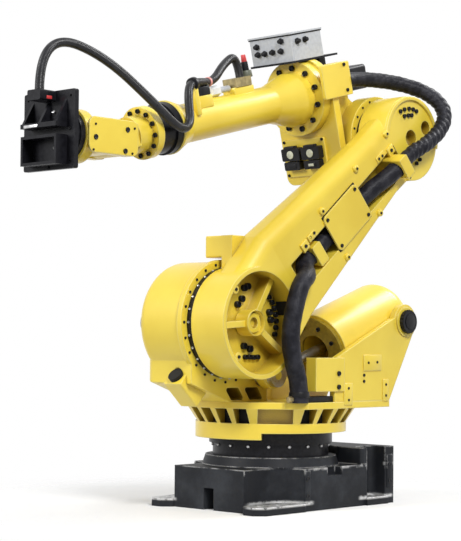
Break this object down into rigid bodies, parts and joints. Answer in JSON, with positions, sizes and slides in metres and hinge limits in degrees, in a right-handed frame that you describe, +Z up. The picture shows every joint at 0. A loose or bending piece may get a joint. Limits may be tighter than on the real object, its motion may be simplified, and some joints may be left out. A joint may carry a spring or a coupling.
{
  "type": "industrial robot arm",
  "caption": "Heavy floor-mounted jointed robot arm with a slotted turntable, spring balancer, cranked upper arm, long forearm with hose loop, wrist and tool plate.",
  "frame": {"origin": "on the floor under the first axis, in the base's flat underside", "axes": "+X forward, the way the arm reaches; +Y to the robot's left; +Z up"},
  "size_m": [1.8313, 0.7503, 1.8624],
  "materials": {
    "arm_paint": "semi-gloss cast surface with scuffs",
    "black_paint": "satin",
    "grey_paint": "satin",
    "olive_paint": "satin",
    "loom_sleeve": "woven sleeve",
    "hose_rubber": "gloss",
    "stop_rubber": "matt",
    "black_plastic": "matt",
    "tool_paint": "satin black",
    "base_paint": "satin black, scraped on the feet",
    "steel": "turned",
    "brass_block": "dull"
  },
  "bodies": {
    "base": {"base_casting": "base_paint", "connector_plate": "base_paint", "j1_reducer_ring": "black_paint"},
    "turntable": {"turntable": "arm_paint", "j2_housing": "arm_paint", "forward_stop_pad": "stop_rubber", "j2_motor": "black_paint", "balancer_walls": "arm_paint", "trunnion_caps": "black_paint", "loom_guard": "arm_paint", "shoulder_loom": "loom_sleeve"},
    "balancer": {"balancer_cylinder": "arm_paint", "balancer_front_plate": "olive_paint"},
    "balancer_piston": {"balancer_rod": "steel"},
    "upper_arm": {"upper_arm": "arm_paint", "j2_reducer_ring": "black_paint", "loom_cover": "arm_paint", "loom_clamps": "arm_paint", "arm_loom": "loom_sleeve", "elbow_loom": "loom_sleeve"},
    "forearm": {"j3_reducer_ring": "black_paint", "forearm_casing": "arm_paint", "forearm_motors": "black_paint", "forearm_tube": "arm_paint", "cable_cover": "arm_paint", "junction_box_shelf": "black_paint", "junction_box": "grey_paint", "junction_box_lid": "grey_paint", "connector_panel": "arm_paint", "panel_connectors": "black_plastic", "manifold_saddle": "steel", "valve_manifold": "brass_block", "dress_hose": "hose_rubber", "hose_guide": "black_paint", "wrist_hose_rear": "hose_rubber"},
    "wrist": {"j4_reducer_ring": "black_paint", "wrist_housing": "arm_paint", "wrist_hose_middle": "hose_rubber"},
    "hand": {"hand_casting": "arm_paint", "hand_covers": "arm_paint", "wrist_hose_front": "hose_rubber"},
    "tool": {"j6_reducer_ring": "black_paint", "tool_adapter": "black_paint", "tool_plate": "tool_paint", "tool_brackets": "tool_paint"}
  },
  "joints": [
    {"name": "base_turn", "type": "hinge", "parent": "base", "child": "turntable", "pos_m": [0, 0, 0.284], "axis": [0, 0, 1], "range_deg": [-180, 180]},
    {"name": "arm_swing", "type": "hinge", "parent": "turntable", "child": "upper_arm", "pos_m": [0.35, 0, 0.69], "axis": [0, 1, 0], "range_deg": [-13, 95], "deforming": ["shoulder_loom"]},
    {"name": "elbow_lift", "type": "hinge", "parent": "upper_arm", "child": "forearm", "pos_m": [-0.43621, 0, 1.42315], "axis": [0, -1, 0], "range_deg": [-15, 150], "deforming": ["elbow_loom"]},
    {"name": "wrist_roll", "type": "hinge", "parent": "forearm", "child": "wrist", "pos_m": [0.5844, 0, 1.3916], "axis": [0.9681, 0, -0.2504], "range_deg": [-180, 180], "deforming": ["wrist_hose_rear"]},
    {"name": "hand_bend", "type": "hinge", "parent": "wrist", "child": "hand", "pos_m": [0.85936, 0, 1.32049], "axis": [0, -1, 0], "range_deg": [-119, 90], "deforming": ["wrist_hose_middle"]},
    {"name": "tool_turn", "type": "hinge", "parent": "hand", "child": "tool", "pos_m": [1.04136, 0, 1.32049], "axis": [1, 0, 0], "range_deg": [-180, 180], "deforming": ["wrist_hose_front"]},
    {"name": "balancer_tilt", "type": "hinge", "parent": "turntable", "child": "balancer", "pos_m": [-0.43, 0.148, 0.704], "axis": [0, -1, 0], "range_deg": [-10, 40]},
    {"name": "rod_tilt", "type": "hinge", "parent": "upper_arm", "child": "balancer_piston", "pos_m": [0.17132, 0.148, 0.49839], "axis": [0, -1, 0], "range_deg": [-25, 135]}
  ],
  "couplings": [
    {"joint": "balancer_tilt", "follows": "arm_swing", "ratio": 0.35},
    {"joint": "rod_tilt", "follows": "arm_swing", "ratio": 1.35}
  ]
}
